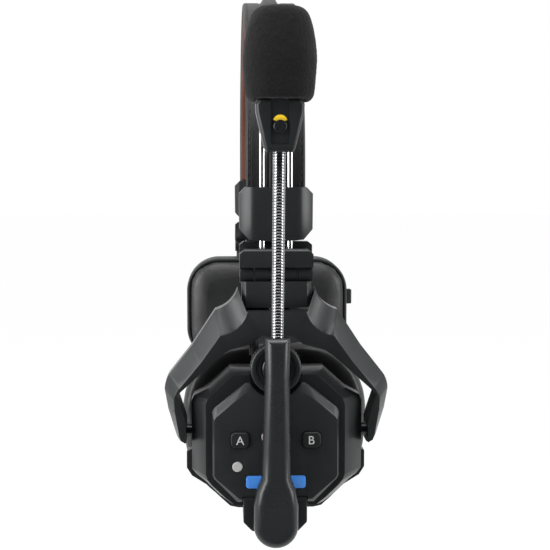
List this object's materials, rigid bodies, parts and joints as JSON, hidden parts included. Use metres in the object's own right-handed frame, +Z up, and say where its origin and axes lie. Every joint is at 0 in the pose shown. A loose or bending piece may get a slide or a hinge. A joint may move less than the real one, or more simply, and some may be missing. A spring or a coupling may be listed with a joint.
{
  "type": "crew intercom headset",
  "caption": "Cordless crew headset: leather-lined headband, one ear cup in a fork with a swinging boom microphone and controls, and a battery in a temple rest opposite",
  "frame": {"origin": "The crown rest: the lowest point of the leather cushion at the top of the headband, midway between the two sides", "axes": "+Z up towards the top of the headband, +X to the right when the ear cup faces the viewer, +Y from the ear cup towards the temple rest"},
  "size_m": [0.0765, 0.2002, 0.1878],
  "materials": {
    "band_skin": "fine-grained black imitation leather",
    "lining": "reddish-brown leather",
    "strip_steel": "blued spring steel",
    "cable_jacket": "black cable jacket",
    "clamp_plastic": "fine-textured black plastic",
    "small_steel": "blackened steel",
    "rod_chrome": "bright chrome",
    "pin_steel": "ground steel",
    "hinge_plastic": "fine-textured black plastic",
    "yoke_plastic": "satin black plastic",
    "lead_rubber": "soft black rubber",
    "shell_plastic": "satin black plastic",
    "plate_plastic": "fine-textured black plastic",
    "button_rubber": "smooth black rubber",
    "pale_lens": "pale translucent plastic",
    "bar_lens": "pale translucent plastic",
    "badge_blue": "bright blue plastic",
    "board_green": "lacquered board",
    "driver_plastic": "grey moulding",
    "speaker_cloth": "black cloth",
    "cushion_skin": "smooth black imitation leather",
    "knob_plastic": "black plastic",
    "knob_bright": "polished black cap",
    "encoder_metal": "plated steel",
    "boom_plastic": "satin black plastic",
    "neck_steel": "grey plated steel",
    "mic_plastic": "satin black plastic",
    "marker_yellow": "yellow print",
    "capsule_metal": "grey metal",
    "foam_black": "open-cell foam",
    "box_plastic": "fine-textured black plastic",
    "battery_wrap": "shrink wrap"
  },
  "bodies": {
    "headband": {"headband_spring": "strip_steel", "headband_cover": "band_skin", "headband_pad": "lining", "band_cable": "cable_jacket", "slider_clamp_near": "clamp_plastic", "slider_clamp_far": "clamp_plastic", "clamp_screws_near": "small_steel", "clamp_screws_far": "small_steel"},
    "near_hanger": {"size_rods_near": "rod_chrome", "hinge_block_near": "hinge_plastic", "hinge_pin_near": "pin_steel"},
    "near_knuckle": {"hinge_knuckle_near": "hinge_plastic", "swivel_bolt_near": "pin_steel", "swivel_washer_near": "small_steel"},
    "near_yoke": {"yoke": "yoke_plastic", "tilt_pins": "small_steel", "lead_boot": "lead_rubber"},
    "ear_cup": {"cup_shell": "shell_plastic", "cup_back": "shell_plastic", "control_plate": "plate_plastic", "light_lens": "pale_lens", "light_bar": "bar_lens", "badge_plate": "badge_blue", "main_board": "board_green", "speaker_baffle": "driver_plastic", "speaker_driver": "driver_plastic", "speaker_mesh": "speaker_cloth", "ear_cushion": "cushion_skin", "knob_encoder": "encoder_metal", "boom_mount": "shell_plastic", "boom_pivot": "pin_steel", "boom_washer": "small_steel", "signal_lead": "lead_rubber"},
    "knob": {"volume_knob": "knob_plastic", "knob_cap": "knob_bright"},
    "push_a": {"button_a": "button_rubber"},
    "push_b": {"button_b": "button_rubber"},
    "boom": {"boom_arm": "boom_plastic", "gooseneck": "neck_steel", "mic_housing": "mic_plastic", "mic_marker": "marker_yellow", "mic_capsule": "capsule_metal", "foam_windscreen": "foam_black"},
    "mic_slider": {"mic_switch": "knob_plastic"},
    "far_hanger": {"size_rods_far": "rod_chrome", "hinge_block_far": "hinge_plastic", "hinge_pin_far": "pin_steel"},
    "far_knuckle": {"hinge_knuckle_far": "hinge_plastic", "swivel_bolt_far": "pin_steel", "swivel_washer_far": "small_steel"},
    "temple": {"temple_bracket": "hinge_plastic", "bracket_screws": "small_steel", "temple_box": "box_plastic", "temple_rim": "box_plastic", "temple_pad": "cushion_skin", "battery": "battery_wrap", "power_board": "board_green"},
    "door": {"battery_door": "box_plastic"},
    "power_slider": {"power_switch": "box_plastic"}
  },
  "joints": [
    {"name": "size_slide_near", "type": "slide", "parent": "headband", "child": "near_hanger", "axis": [0, 0, -1], "range_m": [0, 0.023]},
    {"name": "fold_near", "type": "hinge", "parent": "near_hanger", "child": "near_knuckle", "pos_m": [0, -0.081, -0.0906], "axis": [1, 0, 0], "range_deg": [0, 80]},
    {"name": "swivel_near", "type": "hinge", "parent": "near_knuckle", "child": "near_yoke", "pos_m": [0, -0.08, -0.102], "axis": [0, 0, 1], "range_deg": [-8, 8]},
    {"name": "cup_tilt", "type": "hinge", "parent": "near_yoke", "child": "ear_cup", "pos_m": [0, -0.083, -0.143], "axis": [1, 0, 0], "range_deg": [-8, 8]},
    {"name": "knob_turn", "type": "hinge", "parent": "ear_cup", "child": "knob", "pos_m": [-0.0007, -0.095, -0.1203], "axis": [0, -1, 0], "continuous": true},
    {"name": "push_a_press", "type": "slide", "parent": "ear_cup", "child": "push_a", "axis": [0, 1, 0], "range_m": [0, 0.0007], "stiffness_N_per_m": 400},
    {"name": "push_b_press", "type": "slide", "parent": "ear_cup", "child": "push_b", "axis": [0, 1, 0], "range_m": [0, 0.0007], "stiffness_N_per_m": 400},
    {"name": "boom_swing", "type": "hinge", "parent": "ear_cup", "child": "boom", "pos_m": [-0.0009, -0.1, -0.1708], "axis": [0, 1, 0], "range_deg": [-135, 135]},
    {"name": "mic_switch_slide", "type": "slide", "parent": "boom", "child": "mic_slider", "axis": [0.0084, 0, 1], "range_m": [0, 0.0018]},
    {"name": "size_slide_far", "type": "slide", "parent": "headband", "child": "far_hanger", "axis": [0, 0, -1], "range_m": [0, 0.023]},
    {"name": "fold_far", "type": "hinge", "parent": "far_hanger", "child": "far_knuckle", "pos_m": [0, 0.081, -0.0906], "axis": [-1, 0, 0], "range_deg": [0, 55]},
    {"name": "swivel_far", "type": "hinge", "parent": "far_knuckle", "child": "temple", "pos_m": [0, 0.08, -0.102], "axis": [0, 0, 1], "range_deg": [-8, 8]},
    {"name": "battery_door_slide", "type": "slide", "parent": "temple", "child": "door", "axis": [0, 0, -1], "range_m": [0, 0.006]},
    {"name": "power_switch_slide", "type": "slide", "parent": "temple", "child": "power_slider", "axis": [0, 0, 1], "range_m": [0, 0.002]}
  ]
}
